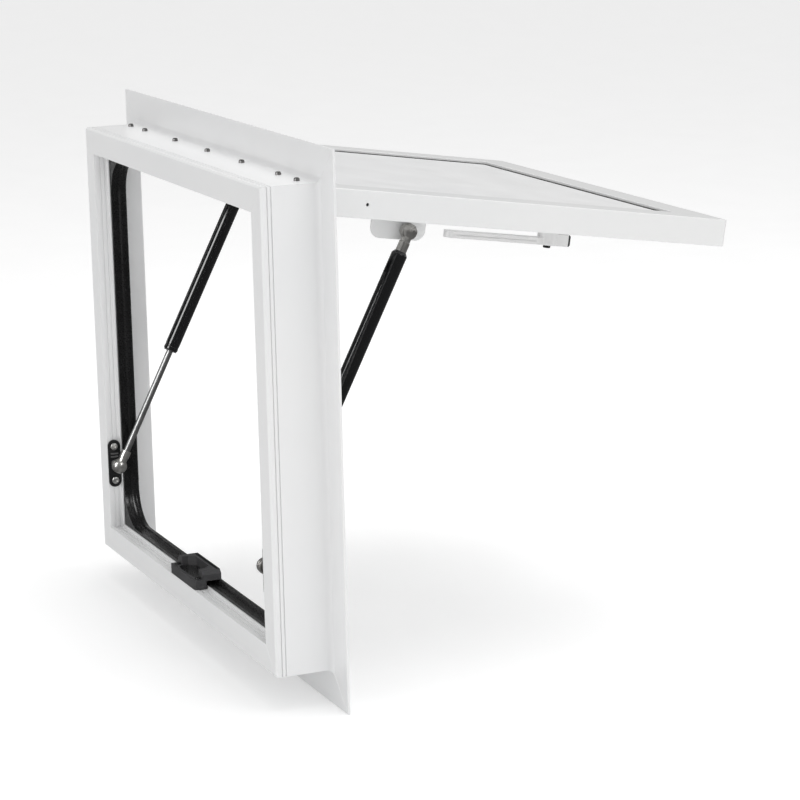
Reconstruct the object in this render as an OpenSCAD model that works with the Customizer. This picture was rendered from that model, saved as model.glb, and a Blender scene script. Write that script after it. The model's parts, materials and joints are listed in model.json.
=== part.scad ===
// Top-hung lift-up window: a mitred barrel frame with a wall flange, a glazed sash on a
// continuous hinge, two gas struts on ball studs, a turn handle and its keeper.
// X is the width, +Y points outdoors, +Z is up. The origin is the centre of the wall
// cut-out, in the plane of the wall's outer surface. The sash stands open.

/* [Frame] */
// Width of the wall cut-out, across the outside of the barrel
barrel_w = 620; // [480:5:900]
// Height of the wall cut-out, across the outside of the barrel
barrel_h = 540; // [500:5:800]
// Depth of the barrel behind the wall's outer surface
barrel_d = 67; // [66:1:90]
// Thickness of the barrel's outer wall and of the front chamber's walls
wall_t = 2; // [1.6:0.1:3]
// Width of the front face that is seen from indoors
face_w = 30.5; // [29:0.5:40]
// Depth of the front chamber, from the front face to the seal's seat
chamber_d = 19; // [16:0.5:22]
// Height of the lip that hides the seal's edge
lip_rise = 2.5; // [1:0.5:4]
// Width of the wall flange around the barrel
flange_w = 40; // [20:1:60]
// Thickness of the wall flange
flange_t = 3; // [2:0.5:5]
// Radius of the cove between barrel and flange
cove_r = 7; // [2:0.5:10]
// Bevel on the barrel's front outer edge
front_bevel = 2; // [0.5:0.5:3]
// Width of the fine grooves along the barrel
groove_w = 1.1; // [0.6:0.1:1.5]
// Depth of the fine grooves along the barrel
groove_deep = 0.8; // [0.3:0.1:1]

/* [Seal] */
// Radius of the seal's hollow bulb
bulb_r = 6; // [4:0.25:7]
// Radius of the bulb's centre line at the corners
seal_corner_r = 48; // [25:1:70]

/* [Sash] */
// Gap between the sash and the barrel's inside, left and right
side_gap = 9; // [4:0.5:14]
// Gap between the sash and the barrel's inside, at the bottom
bottom_gap = 21; // [8:1:24]
// Thickness of the sash
sash_t = 31; // [24:0.5:34]
// Face width of the sash members
member_w = 45; // [38:1:60]
// Wall thickness of the sash members
sash_wall = 2.2; // [1.8:0.1:3]
// Radius of the sash's outer corners
sash_corner_r = 4; // [1:0.5:8]
// Step from the sash's outer face down to the pane
pane_recess = 3.5; // [2:0.5:6]
// Thickness of the pane
pane_t = 5; // [3:0.5:8]
// Angle that the sash stands open
open_angle = 81.2; // [45:0.1:84]

/* [Hinge] */
// Outer radius of the hinge knuckles
knuckle_r = 3; // [2.5:0.25:4]
// Radius of the hinge pin
hinge_pin_r = 1.6; // [1.2:0.1:2]
// Number of knuckles along the hinge
knuckle_count = 9; // [5:2:15]
// Thickness of the hinge leaves
leaf_t = 1.5; // [1:0.1:2]
// Width of each hinge leaf
leaf_w = 28; // [22:1:28]
// Distance from the hinge pin to the row of screws
hinge_screw_back = 13.5; // [10:0.5:22]

/* [Struts] */
// Distance of each strut in from the barrel's outside
strut_in = 51; // [50:0.5:55]
// Outer radius of the strut's pressure tube
tube_r = 9; // [7.5:0.5:9]
// Radius of the strut's piston rod
rod_r = 4; // [3:0.5:5]
// Radius of the ball studs
ball_r = 5; // [4:0.5:5]
// Outer radius of the ball sockets
socket_r = 9; // [8:0.25:9]
// Length of the pressure tube
tube_len = 212; // [180:1:240]
// Distance of the jamb ball below the middle of the window
jamb_ball_drop = 156; // [130:1:170]
// Distance of the jamb ball behind the wall's outer surface
jamb_ball_back = 57.5; // [56:0.5:58]
// Distance along the sash from the hinge pin to the sash ball
sash_ball_run = 135; // [120:1:150]
// Distance of the sash ball from the sash's inner face
sash_ball_off = 14.3; // [14:0.1:18]

/* [Handle] */
// Distance of the handle's spindle from the sash's free edge
spindle_up = 73; // [70:1:90]
// Reach of the handle's lever from the spindle
lever_len = 140; // [90:1:150]
// Reach of the locking cam from the spindle
cam_len = 50; // [48:0.5:51]
// Radius of the handle's spindle
spindle_r = 5; // [4:0.5:6]
// Length of the keeper along the bottom rail
keeper_len = 88; // [76:1:110]

/* [Clearances] */
// Gap at each mitred corner
mitre_gap = 0.1; // [0.05:0.05:0.3]
// Radial running clearance of pins, balls and the spindle
run_gap = 0.05; // [0.02:0.01:0.1]
// Clearance between pieces that lie against each other
seat_gap = 0.1; // [0.05:0.05:0.3]
// Clearance between pieces that move past each other
pass_gap = 0.4; // [0.3:0.1:0.8]

/* [Hidden] */
sides = [-1, 1];
side_names = ["left", "right"];
screw_count = 7;
corner_names = ["bottom_left", "bottom_right", "top_left", "top_right"];
corner_signs = [[-1, -1], [1, -1], [-1, 1], [1, 1]];

$fn = 48;
bore_gap = 0.1;             // radial clearance of screws in their holes

// Frame, worked out from the barrel
front_y = -barrel_d;
seat_y = front_y + chamber_d;
lip_u = face_w + lip_rise;
reveal_u = face_w - 0.5;
strip_d = 5;
edge_chamfer = 1.2;
side_groove_backs = [6.5, 11];
reveal_groove_backs = [7, 12.5];
inner_top_z = barrel_h / 2 - wall_t;

// Hinge
pin_y = -2;
pin_z = inner_top_z - pass_gap - knuckle_r;
hinge_end_gap = 6;
hinge_len = barrel_w - 2 * (wall_t + side_gap) - 2 * hinge_end_gap;
knuckle_len = hinge_len / knuckle_count;
relief_r = knuckle_r + 0.6;
knuckle_web = 1.5;
leaf_edge_gap = 0.8;
screw_r = 2;
screw_head_r = 3.3;
screw_head_h = 3.6;
screw_end = 9;
screw_span = hinge_len / 2 - screw_end;
screw_pitch = 0.403 * screw_span;

// Sash when shut
sash_w = barrel_w - 2 * (wall_t + side_gap);
sash_top = pin_z - leaf_t - seat_gap;
sash_bottom = -barrel_h / 2 + wall_t + bottom_gap;
sash_h = sash_top - sash_bottom;
sash_mid = (sash_top + sash_bottom) / 2;
sash_y = pin_y + 0.8;
sash_back = sash_y - sash_t;
ledge_w = 10;
ledge_t = 2;
gasket_t = 1;
pane_edge = member_w + 1.5;
pane_y = sash_y - pane_recess;
gasket_proud = 0.8;
side_hole_r = 1.8;
side_hole_z = pin_z - 64.5;

// Seal
bulb_y = sash_back - 0.3 - bulb_r;
seal_base_t = bulb_y - bulb_r - seat_y + 0.5;
bulb_u = lip_u;
seal_out_u = lip_u - 11;
seal_in_u = lip_u + 3;
web_half = 1.5;

// Struts
strut_x = barrel_w / 2 - strut_in;
jamb_ball = [-jamb_ball_back, -jamb_ball_drop];
shut_ball = [sash_back - sash_ball_off, pin_z - sash_ball_run];
rel = [shut_ball[0] - pin_y, shut_ball[1] - pin_z];
open_ball = [
    pin_y + rel[0] * cos(open_angle) - rel[1] * sin(open_angle),
    pin_z + rel[0] * sin(open_angle) + rel[1] * cos(open_angle)
];
reach = [open_ball[0] - jamb_ball[0], open_ball[1] - jamb_ball[1]];
strut_len = norm(reach);
strut_lean = atan2(reach[0], reach[1]);
stud_r = 3;
collar_r = 5.5;
neck_r = 5.5;
head_half = 7;
neck_top = 19;
taper_len = 8;
tube_wall = 1.2;
gland_len = 12;
rod_inside = 64.2;           // how far the open strut's rod reaches into its tube
rod_end = strut_len - neck_top - taper_len - tube_len + rod_inside;
ferrule_end = 22;

// Jamb plate, on the front strip of the reveal
plate_t = 2.5;
plate_len = 61;
plate_back_y = seat_y - wall_t - 0.5;
plate_front_y = front_y + 0.5;
plate_w = plate_back_y - plate_front_y;
plate_y = (plate_back_y + plate_front_y) / 2;
plate_x = barrel_w / 2 - face_w;
plate_screw_run = 22;
slot_runs = [9, 13];
slot_len = 7;
slot_w = 1.6;
slot_deep = 0.8;
stud_tip = strut_x + socket_r + 0.3;

// Sash tab
tab_t = 2.5;
tab_x = strut_x - socket_r - 2 - tab_t;
tab_len = 66;
tab_above = 41.5;
tab_drop = 25;
tab_round = 12;
foot_out = barrel_w / 2 - bulb_u - bulb_r - 1.5;
tab_top = shut_ball[1] + tab_above;
tab_mid = tab_top - tab_len / 2;
tab_screw_run = 22;
tab_screw_x = (foot_out + tab_x + tab_t) / 2 + 2;

// Keeper
keeper_floor = -barrel_h / 2 + face_w;
keeper_top = keeper_floor + 21.5;
keeper_step = keeper_floor + 11.5;
keeper_under = keeper_floor + 9.3;
keeper_screw_x = 36;
keeper_screw_back = 6.5;
pocket_half = 28;
pocket_cut = 6;

// Handle
spindle_z = sash_bottom + spindle_up;
base_t = 5;
base_half = 18;
base_low = keeper_top + 2.5;
base_screw_x = 11;
base_screw_z = base_low + 6.5;
base_high = spindle_z + base_half;
boss_r = 9;
boss_h = 4.5;
cam_t = 4;
cam_y = sash_back - base_t - boss_h - pass_gap;
cam_w = 12;
hub_r = 13;
hub_y = cam_y - cam_t - pass_gap;
lever_front = sash_back - 44.3;
lever_t = 8.5;
lever_w = 17;
block_low = spindle_z - 23;
tip_low = block_low - 3;

// ---------------------------------------------------------------- helpers

module along_x(len) rotate([90, 0, 90]) linear_extrude(len, center = true) children();

module along_y(y0, y1) translate([0, y1, 0]) rotate([90, 0, 0]) linear_extrude(y1 - y0) children();

module pin_x(r, x0, x1, yz, fn = 48)
    translate([x0, yz[0], yz[1]]) rotate([0, 90, 0]) cylinder(r = r, h = x1 - x0, $fn = fn);

module pin_y(r, y0, y1, xz, fn = 48)
    translate([xz[0], y1, xz[1]]) rotate([90, 0, 0]) cylinder(r = r, h = y1 - y0, $fn = fn);

// A plate's outline with round corners, around the origin
module round_rect(w, h, r) {
    square([w - 2 * r, h], center = true);
    square([w, h - 2 * r], center = true);
    for (x = sides, z = sides) translate([x * (w / 2 - r), z * (h / 2 - r)]) circle(r);
}

// Keeps the part of an extrusion that lies between two 45 degree mitres
module mitred(len, out, inward) {
    half = len / 2 - mitre_gap / 2;
    intersection() {
        children();
        along_y(-200, 100) polygon([
            [-half - out, out], [half + out, out],
            [half - inward, -inward], [-half + inward, -inward]
        ]);
    }
}

// Puts a rail made along the top edge onto one of the four sides of a w by h frame
module on_side(side, w, h) {
    if (side == "top") translate([0, 0, h / 2]) children();
    if (side == "bottom") translate([0, 0, -h / 2]) mirror([0, 0, 1]) children();
    if (side == "right") translate([w / 2, 0, 0]) rotate([0, 90, 0]) children();
    if (side == "left") translate([-w / 2, 0, 0]) rotate([0, -90, 0]) children();
}

// Turns a piece from where it is when the sash is shut to where it is when open
module opened()
    translate([0, pin_y, pin_z]) rotate([open_angle, 0, 0]) translate([0, -pin_y, -pin_z]) children();

// Lays a strut that was made up +Z from the jamb ball along its open position
module leaned() translate([0, jamb_ball[0], jamb_ball[1]]) rotate([-strut_lean, 0, 0]) children();

// Pan head and shank, head outwards along +Z from the seat at z = 0
module screw(head_r, head_h, shank_r, shank_len) {
    rotate_extrude() polygon([
        [0, -shank_len], [shank_r, -shank_len], [shank_r, 0], [head_r, 0],
        for (a = [0:15:75]) [head_r - head_h * 0.7 * (1 - cos(a)), head_h * sin(a)],
        [0, head_h]
    ]);
}

// ---------------------------------------------------------------- frame

// Section of the barrel: x is the depth, y is the distance inwards, negated
module barrel_section() {
    difference() {
        polygon(concat(
            [[0, flange_w], [flange_t, flange_w],
             [flange_t, -wall_t + edge_chamfer], [flange_t - edge_chamfer, -wall_t],
             [seat_y, -wall_t], [seat_y, -lip_u], [seat_y - wall_t, -lip_u],
             [seat_y - wall_t, -reveal_u], [front_y + strip_d, -reveal_u], [front_y + strip_d, -face_w],
             [front_y, -face_w], [front_y, -front_bevel], [front_y + front_bevel, 0]],
            [for (a = [90:-10:0]) [-cove_r + cove_r * cos(a), cove_r - cove_r * sin(a)]]
        ));
        translate([front_y + wall_t, -face_w + wall_t])
            square([chamber_d - 2 * wall_t, face_w - 2 * wall_t]);
        for (back = side_groove_backs) translate([front_y + back, -groove_deep])
            square([groove_w, groove_deep + 1]);
        for (back = reveal_groove_backs) translate([front_y + back, -reveal_u - 1])
            square([groove_w, groove_deep + 1]);
    }
}

module frame_rail(side) {
    len = (side == "top" || side == "bottom") ? barrel_w : barrel_h;
    color("whitesmoke") on_side(side, barrel_w, barrel_h)
        mitred(len, flange_w, lip_u) along_x(len + 2 * flange_w) barrel_section();
}

// The outer screws sit near the hinge's ends, the others at an even pitch from the middle
module hinge_screw_x(i) {
    place = i - (screw_count + 1) / 2;
    outer = abs(place) == (screw_count - 1) / 2;
    translate([outer ? sign(place) * screw_span : place * screw_pitch, 0, 0]) children();
}

module frame_top_rail() {
    color("whitesmoke") difference() {
        frame_rail("top");
        for (i = [1:screw_count]) hinge_screw_x(i)
            translate([0, pin_y - hinge_screw_back, inner_top_z - 1])
                cylinder(r = screw_r + bore_gap, h = wall_t + 2, $fn = 32);
    }
}

// L-shaped key that joins two rails inside their front chambers
module corner_key(signs) {
    leg = 45;
    w = face_w - 2 * wall_t - 2 * seat_gap;
    y0 = front_y + wall_t + seat_gap;
    y1 = seat_y - wall_t - seat_gap;
    out = wall_t + seat_gap;
    color("silver") scale([signs[0], 1, signs[1]]) translate([barrel_w / 2 - out, 0, barrel_h / 2 - out]) {
        translate([-w - leg, y0, -w]) cube([w + leg, y1 - y0, w]);
        translate([-w, y0, -w - leg]) cube([w, y1 - y0, w + leg]);
    }
}

module bulb_seal() {
    w = barrel_w / 2 - bulb_u;
    h = barrel_h / 2 - bulb_u;
    r = seal_corner_r;
    base_r = r - (seal_in_u - bulb_u);
    color([0.07, 0.07, 0.07]) {
        along_y(seat_y, seat_y + seal_base_t) difference() {
            square([barrel_w - 2 * seal_out_u, barrel_h - 2 * seal_out_u], center = true);
            round_rect(barrel_w - 2 * seal_in_u, barrel_h - 2 * seal_in_u, base_r);
        }
        for (s = sides) {
            pin_x(bulb_r, -(w - r), w - r, [bulb_y, s * h], 32);
            translate([s * w, bulb_y, -(h - r)]) cylinder(r = bulb_r, h = 2 * (h - r), $fn = 32);
        }
        for (c = [0:3]) {
            sx = (c == 0 || c == 3) ? 1 : -1;
            sz = c < 2 ? 1 : -1;
            translate([sx * (w - r), bulb_y, sz * (h - r)]) rotate([90, 0, 0]) rotate([0, 0, 90 * c])
                rotate_extrude(angle = 90, $fn = 64) translate([r, 0]) circle(bulb_r, $fn = 32);
        }
        along_y(seat_y + seal_base_t - 1, bulb_y) difference() {
            round_rect(2 * (w + web_half), 2 * (h + web_half), r + web_half);
            round_rect(2 * (w - web_half), 2 * (h - web_half), r - web_half);
        }
    }
}

// ---------------------------------------------------------------- hinge

function knuckle_x(i) = -hinge_len / 2 + i * knuckle_len;

module knuckles(first) {
    for (i = [first:2:knuckle_count - 1])
        pin_x(knuckle_r, knuckle_x(i) + pass_gap / 2, knuckle_x(i + 1) - pass_gap / 2, [pin_y, pin_z], 48);
}

module hinge_bore() pin_x(hinge_pin_r + run_gap, -hinge_len, hinge_len, [pin_y, pin_z], 48);

module hinge_frame_leaf() {
    color("gainsboro") difference() {
        union() {
            translate([-hinge_len / 2, pin_y - leaf_w, inner_top_z - leaf_t])
                cube([hinge_len, leaf_w - knuckle_r - leaf_edge_gap, leaf_t]);
            for (i = [0:2:knuckle_count - 1])
                translate([knuckle_x(i) + pass_gap / 2, pin_y - knuckle_r - knuckle_web, inner_top_z - leaf_t])
                    cube([knuckle_len - pass_gap, knuckle_r + knuckle_web, leaf_t - pass_gap]);
            knuckles(0);
        }
        hinge_bore();
        for (i = [1:screw_count]) hinge_screw_x(i)
            translate([0, pin_y - hinge_screw_back, inner_top_z - leaf_t - 1])
                cylinder(r = screw_r + bore_gap, h = leaf_t + 2, $fn = 32);
    }
}

module hinge_sash_leaf() {
    color("gainsboro") opened() difference() {
        union() {
            translate([-hinge_len / 2, pin_y - leaf_w, sash_top])
                cube([hinge_len, leaf_w - knuckle_r - leaf_edge_gap, leaf_t]);
            for (i = [1:2:knuckle_count - 1])
                translate([knuckle_x(i) + pass_gap / 2, pin_y - knuckle_r - knuckle_web, sash_top])
                    cube([knuckle_len - pass_gap, knuckle_r + knuckle_web, leaf_t]);
            knuckles(1);
        }
        hinge_bore();
    }
}

module hinge_pin() color("silver") pin_x(hinge_pin_r, -hinge_len / 2, hinge_len / 2, [pin_y, pin_z], 48);

module hinge_screw(i) {
    color("silver") hinge_screw_x(i)
        translate([0, pin_y - hinge_screw_back, barrel_h / 2])
            screw(screw_head_r, screw_head_h, screw_r, wall_t + leaf_t + 0.4);
}

// ---------------------------------------------------------------- sash

// Section of a sash member: x is the depth, y is the distance inwards, negated
module sash_section() {
    back = sash_y - sash_t;
    ledge_y = pane_y - pane_t - gasket_t;
    difference() {
        polygon([
            [sash_y, -1], [sash_y - 1, 0], [back + 1, 0], [back, -1], [back, -member_w],
            [ledge_y - ledge_t, -member_w], [ledge_y - ledge_t, -member_w - ledge_w],
            [ledge_y, -member_w - ledge_w], [ledge_y, -member_w], [sash_y, -member_w]
        ]);
        translate([back + sash_wall, -member_w + sash_wall])
            square([sash_t - 2 * sash_wall, member_w - 2 * sash_wall]);
    }
}

module sash_member(side) {
    len = (side == "top" || side == "bottom") ? sash_w : sash_h;
    color("white") opened() difference() {
        intersection() {
            translate([0, 0, sash_mid]) on_side(side, sash_w, sash_h)
                mitred(len, 1, member_w + ledge_w) along_x(len) sash_section();
            translate([0, 0, sash_mid]) along_y(sash_back - 1, sash_y + 1)
                round_rect(sash_w, sash_h, sash_corner_r);
        }
        pin_x(relief_r, -barrel_w / 2, barrel_w / 2, [pin_y, pin_z], 48);
        for (s = sides) pin_x(side_hole_r, s * sash_w / 2 - 4, s * sash_w / 2 + 4,
            [sash_y - sash_t / 2, side_hole_z], 32);
    }
}

module sash_ring(out_v, in_v, y0, y1) {
    translate([0, 0, sash_mid]) along_y(y0, y1) difference() {
        square([sash_w - 2 * out_v, sash_h - 2 * out_v], center = true);
        square([sash_w - 2 * in_v, sash_h - 2 * in_v], center = true);
    }
}

module pane() {
    color([0.93, 0.94, 0.95]) opened() translate([0, 0, sash_mid]) along_y(pane_y - pane_t, pane_y)
        square([sash_w - 2 * pane_edge, sash_h - 2 * pane_edge], center = true);
}

// Channel of rubber around the pane's edge
module glazing_gasket() {
    side_v = pane_edge - seat_gap;
    low = pane_y - pane_t;
    color([0.06, 0.06, 0.06]) opened() {
        sash_ring(member_w + seat_gap, side_v, low - gasket_t + seat_gap, pane_y + gasket_proud);
        sash_ring(member_w + seat_gap, member_w + 4.5, pane_y + seat_gap, pane_y + gasket_proud);
        sash_ring(member_w + seat_gap, member_w + 8, low - gasket_t + seat_gap, low - seat_gap);
    }
}

// ---------------------------------------------------------------- strut brackets

module jamb_plate(s) {
    color([0.08, 0.08, 0.08]) scale([s, 1, 1]) difference() {
        translate([plate_x - plate_t, plate_y, jamb_ball[1]]) rotate([90, 0, 90])
            linear_extrude(plate_t - seat_gap / 2) round_rect(plate_w, plate_len, plate_w / 2 - 0.5);
        for (z = sides) pin_x(screw_r + bore_gap, plate_x - plate_t - 1, plate_x + 1,
            [plate_y, jamb_ball[1] + z * plate_screw_run], 32);
        pin_x(stud_r + run_gap, plate_x - plate_t - 1, plate_x + 1, jamb_ball, 32);
        for (z = slot_runs)
            translate([plate_x - plate_t - 1, plate_y - slot_len / 2, jamb_ball[1] + z - slot_w / 2])
                cube([1 + slot_deep, slot_len, slot_w]);
    }
}

module jamb_stud(s) {
    color("silver") scale([s, 1, 1]) {
        pin_x(stud_r, stud_tip, plate_x - seat_gap, jamb_ball, 32);
        pin_x(collar_r, max(plate_x - plate_t - 3, stud_tip), plate_x - plate_t - seat_gap, jamb_ball, 32);
    }
}

module jamb_screws(s) {
    color("silver") scale([s, 1, 1]) for (z = sides)
        translate([plate_x - plate_t, plate_y, jamb_ball[1] + z * plate_screw_run])
            rotate([0, -90, 0]) screw(4.5, 2, screw_r, plate_t - seat_gap);
}

// Angle bracket: a foot on the sash member and a tab that carries the upper ball stud
module sash_tab(s) {
    foot_w = foot_out - tab_x;
    color("white") opened() scale([s, 1, 1]) difference() {
        union() {
            translate([tab_x, sash_back - tab_t, tab_top - tab_len]) cube([foot_w, tab_t - seat_gap, tab_len]);
            translate([tab_x, sash_back, tab_mid]) rotate([90, 0, 90]) linear_extrude(tab_t) {
                translate([-tab_drop + tab_round, -tab_len / 2])
                    square([tab_drop - tab_round - seat_gap, tab_len]);
                translate([-tab_drop, -tab_len / 2 + tab_round]) square([tab_round, tab_len - 2 * tab_round]);
                for (z = sides)
                    translate([-tab_drop + tab_round, z * (tab_len / 2 - tab_round)]) circle(tab_round);
            }
        }
        pin_x(stud_r + run_gap, tab_x - 1, tab_x + tab_t + 1, shut_ball, 32);
        for (z = sides) pin_y(screw_r + bore_gap, sash_back - tab_t - 1, sash_back + 1,
            [tab_screw_x, tab_mid + z * tab_screw_run], 32);
    }
}

module sash_stud(s) {
    color("silver") opened() scale([s, 1, 1]) {
        pin_x(stud_r, tab_x - 3, strut_x, shut_ball, 32);
        pin_x(collar_r, tab_x - 4.5, tab_x - seat_gap, shut_ball, 32);
        pin_x(collar_r, tab_x + tab_t + seat_gap, tab_x + tab_t + 1.4, shut_ball, 32);
        translate([strut_x, shut_ball[0], shut_ball[1]]) sphere(ball_r, $fn = 48);
    }
}

// Low heads that stay under the swinging strut
module tab_screws(s) {
    color("silver") opened() scale([s, 1, 1]) for (z = sides)
        translate([tab_screw_x, sash_back - tab_t, tab_mid + z * tab_screw_run])
            rotate([90, 0, 0]) screw(3.2, 1.1, screw_r, tab_t - seat_gap);
}

// ---------------------------------------------------------------- struts

// Ball socket head around the origin, its bore towards +X, with a neck up +Z
module socket_head(neck_len) {
    difference() {
        union() {
            rotate([0, 90, 0]) rotate_extrude(convexity = 4) polygon([
                [0, -head_half], [socket_r - 2.5, -head_half], [socket_r, -head_half + 2.5],
                [socket_r, head_half - 2.5], [socket_r - 1.5, head_half], [0, head_half]
            ]);
            cylinder(r = neck_r, h = neck_len);
        }
        pin_x(ball_r + run_gap, -ball_r - run_gap, head_half + 1, [0, 0], 48);
    }
}

module strut_tube(s) {
    top = strut_len - neck_top;
    shoulder = top - taper_len;
    bottom = shoulder - tube_len;
    color([0.05, 0.05, 0.05]) leaned() translate([s * strut_x, 0, 0]) difference() {
        rotate_extrude() polygon([
            [0, bottom], [tube_r, bottom], [tube_r, shoulder], [neck_r + 1.2, top], [0, top]
        ]);
        translate([0, 0, bottom - 1]) cylinder(r = tube_r - tube_wall, h = tube_len - 4);
        translate([0, 0, top - 5]) cylinder(r = neck_r + bore_gap, h = 6);
    }
}

module tube_gland(s) {
    bottom = strut_len - neck_top - taper_len - tube_len;
    color([0.1, 0.1, 0.1]) leaned() translate([s * strut_x, 0, bottom]) difference() {
        union() {
            cylinder(r = tube_r - tube_wall - seat_gap, h = gland_len);
            translate([0, 0, -1.5]) cylinder(r = tube_r - 0.8, h = 1.5 - seat_gap);
            translate([0, 0, -0.5]) cylinder(r = tube_r - tube_wall - seat_gap, h = 1);
        }
        translate([0, 0, -3]) cylinder(r = rod_r + run_gap, h = gland_len + 6);
    }
}

module tube_socket(s) {
    color("silver") leaned() translate([s * strut_x, 0, strut_len])
        rotate(s > 0 ? [0, 180, 0] : [180, 0, 0]) socket_head(neck_top + 5 - seat_gap);
}

module strut_rod(s) {
    color("gainsboro") leaned() translate([s * strut_x, 0, 0]) {
        translate([0, 0, ferrule_end - 6]) cylinder(r = rod_r, h = rod_end - ferrule_end + 6);
        translate([0, 0, rod_end - 12]) cylinder(r = tube_r - tube_wall - seat_gap, h = 12);
    }
}

module rod_socket(s) {
    color("silver") leaned() translate([s * strut_x, 0, 0]) rotate([0, 0, s > 0 ? 0 : 180]) difference() {
        union() {
            socket_head(ferrule_end - 5);
            translate([0, 0, ferrule_end - 8]) cylinder(r1 = neck_r, r2 = neck_r + 0.8, h = 8);
        }
        translate([0, 0, ferrule_end - 7]) cylinder(r = rod_r + run_gap, h = 8);
    }
}

module rod_ball(s) {
    color("silver") scale([s, 1, 1]) {
        translate([strut_x, jamb_ball[0], jamb_ball[1]]) rotate([0, 90, 0]) sphere(ball_r, $fn = 48);
        pin_x(stud_r, strut_x, strut_x + socket_r, jamb_ball, 32);
    }
}

// ---------------------------------------------------------------- keeper and handle

module keeper() {
    front = plate_front_y;
    lip_front = seat_y - wall_t - 0.5;
    rear = sash_back - 1;
    half = keeper_len / 2;
    pocket_back = cam_y + 1.2;
    color([0.22, 0.22, 0.23]) difference() {
        union() {
            translate([-half, front, keeper_floor + seat_gap / 2])
                cube([keeper_len, lip_front - front, keeper_step - keeper_floor - seat_gap / 2]);
            along_y(lip_front - 6, rear) polygon([
                [-half, keeper_under], [half, keeper_under], [half, keeper_top - 4],
                [half - 5, keeper_top], [-half + 5, keeper_top], [-half, keeper_top - 4]
            ]);
        }
        translate([0, 0, keeper_step]) linear_extrude(20) polygon([
            [-pocket_half, front - 1], [pocket_half, front - 1], [pocket_half, pocket_back - pocket_cut],
            [pocket_half - pocket_cut, pocket_back], [-pocket_half + pocket_cut, pocket_back],
            [-pocket_half, pocket_back - pocket_cut]
        ]);
        for (s = sides) translate([s * keeper_screw_x, front + keeper_screw_back, keeper_floor - 1])
            cylinder(r = screw_r + bore_gap, h = 30, $fn = 32);
    }
}

module keeper_screws() {
    color("silver") for (s = sides)
        translate([s * keeper_screw_x, plate_front_y + keeper_screw_back, keeper_step])
            screw(3.3, 1.8, screw_r, keeper_step - keeper_floor - seat_gap);
}

module handle_base() {
    color("white") opened() difference() {
        union() {
            translate([0, 0, (base_low + base_high) / 2]) along_y(sash_back - base_t, sash_back - seat_gap)
                round_rect(2 * base_half, base_high - base_low, 8);
            pin_y(boss_r, sash_back - base_t - boss_h, sash_back - base_t + 1, [0, spindle_z], 48);
        }
        pin_y(spindle_r + run_gap, sash_back - base_t - boss_h - 1, sash_back + 1, [0, spindle_z], 48);
        for (s = sides) pin_y(screw_r + bore_gap, sash_back - base_t - 1, sash_back + 1,
            [s * base_screw_x, base_screw_z], 32);
    }
}

module handle_base_screws() {
    color("silver") opened() for (s = sides)
        translate([s * base_screw_x, sash_back - base_t, base_screw_z])
            rotate([90, 0, 0]) screw(3.2, 1.2, screw_r, base_t - seat_gap);
}

module handle_spindle() {
    color("silver") opened() pin_y(spindle_r, lever_front + 6, sash_back - 0.5, [0, spindle_z], 48);
}

module handle_cam() {
    color("silver") opened() difference() {
        union() {
            pin_y(8.5, cam_y - cam_t, cam_y, [0, spindle_z], 48);
            translate([0, cam_y - cam_t, spindle_z - cam_w / 2]) cube([cam_len, cam_t, cam_w]);
        }
        pin_y(spindle_r + run_gap, cam_y - cam_t - 1, cam_y + 1, [0, spindle_z], 48);
    }
}

module handle_lever() {
    color("white") opened() difference() {
        union() {
            pin_y(hub_r, lever_front, hub_y, [0, spindle_z], 64);
            along_y(lever_front, lever_front + lever_t) {
                translate([-lever_w / 2, spindle_z]) square([lever_w, lever_len - lever_w / 2]);
                translate([0, spindle_z + lever_len - lever_w / 2]) circle(lever_w / 2);
            }
            translate([-hub_r + 2, lever_front, block_low])
                cube([2 * hub_r - 4, lever_t + 6, spindle_z - block_low]);
        }
        pin_y(spindle_r + run_gap, lever_front + 5.5, hub_y + 1, [0, spindle_z], 48);
        pin_y(2.6, lever_front - 1, lever_front + 7, [0, spindle_z], 32);
    }
}

module handle_tip() {
    w = hub_r - 2;
    color([0.2, 0.2, 0.21]) opened() translate([-w, 0, 0]) rotate([90, 0, 90]) linear_extrude(2 * w)
        polygon([
            [lever_front, block_low - seat_gap], [lever_front + lever_t + 6, block_low - seat_gap],
            [lever_front + lever_t + 6, tip_low + 1.5], [lever_front + lever_t + 4.5, tip_low],
            [lever_front + 2, tip_low], [lever_front, tip_low + 2]
        ]);
}

module handle_screw() {
    color([0.15, 0.15, 0.15]) opened()
        translate([0, lever_front, spindle_z]) rotate([90, 0, 0]) screw(4.6, 4, 2.5, 5);
}

// ---------------------------------------------------------------- output

frame_top_rail();
frame_rail("bottom");  // frame_bottom_rail
frame_rail("left");  // frame_left_jamb
frame_rail("right");  // frame_right_jamb
for (i = [0:3])
    corner_key(corner_signs[i]);
bulb_seal();
hinge_frame_leaf();
hinge_pin();
for (i = [1:screw_count])
    hinge_screw(i);
keeper();
keeper_screws();
sash_member("top");  // sash_top_member
sash_member("bottom");  // sash_bottom_member
sash_member("left");  // sash_left_member
sash_member("right");  // sash_right_member
pane();
glazing_gasket();
hinge_sash_leaf();
handle_base();
handle_base_screws();
handle_lever();
handle_tip();
handle_cam();
handle_spindle();
handle_screw();
for (i = [0:1]) {
    s = sides[i];
    n = side_names[i];
    jamb_plate(s);
    jamb_stud(s);
    jamb_screws(s);
    sash_tab(s);
    sash_stud(s);
    tab_screws(s);
    strut_tube(s);
    tube_gland(s);
    tube_socket(s);
    strut_rod(s);
    rod_socket(s);
    rod_ball(s);
}
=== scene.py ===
import json
import math

import bmesh
import bpy
from mathutils import Matrix, Quaternion, Vector
from mathutils.geometry import tessellate_polygon


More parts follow.
